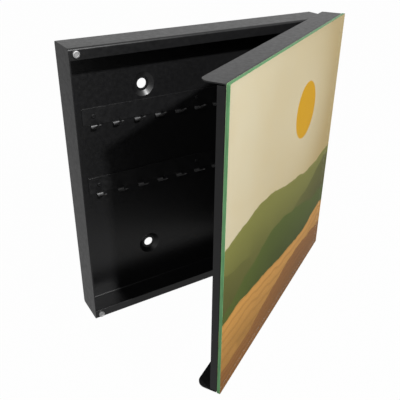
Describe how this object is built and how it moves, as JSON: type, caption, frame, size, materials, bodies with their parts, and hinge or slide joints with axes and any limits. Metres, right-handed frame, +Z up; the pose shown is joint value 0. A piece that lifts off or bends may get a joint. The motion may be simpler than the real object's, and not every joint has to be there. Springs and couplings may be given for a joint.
{
  "type": "wall key box",
  "caption": "Flat steel key box for a wall, with two hook strips inside, a hinged door faced with printed glass, and magnets that hold it shut.",
  "frame": {"origin": "middle of the four wall screws, on the wall's face behind the dimples", "axes": "+X to the right seen from the front, +Y into the wall, +Z up"},
  "size_m": [0.3177, 0.1954, 0.3],
  "materials": {
    "case_paint": "satin",
    "strip_paint": "satin",
    "rivet_paint": "satin",
    "door_paint": "satin",
    "magnet_nickel": "satin",
    "zinc_steel": "satin",
    "washer_nylon": "matte",
    "glass": "polished",
    "print": "gloss",
    "tape": "matte"
  },
  "bodies": {
    "case": {"case_tray": "case_paint", "upper_hook_strip": "strip_paint", "lower_hook_strip": "strip_paint", "upper_strip_rivets": "rivet_paint", "lower_strip_rivets": "rivet_paint", "upper_magnet": "magnet_nickel", "lower_magnet": "magnet_nickel", "upper_hinge_bracket": "case_paint", "lower_hinge_bracket": "case_paint", "upper_hinge_pin": "zinc_steel", "lower_hinge_pin": "zinc_steel", "upper_hinge_washers": "washer_nylon", "lower_hinge_washers": "washer_nylon"},
    "door": {"door_pan": "door_paint", "glass_panel": "glass", "print_film": "print", "adhesive_tapes": "tape", "upper_hinge_arm": "zinc_steel", "lower_hinge_arm": "zinc_steel", "upper_arm_nuts": "zinc_steel", "lower_arm_nuts": "zinc_steel"}
  },
  "joints": [
    {"name": "door_hinge", "type": "hinge", "parent": "case", "child": "door", "pos_m": [0.138, -0.0109, 0], "axis": [0, 0, 1], "range_deg": [-31.2, 53.8]}
  ]
}
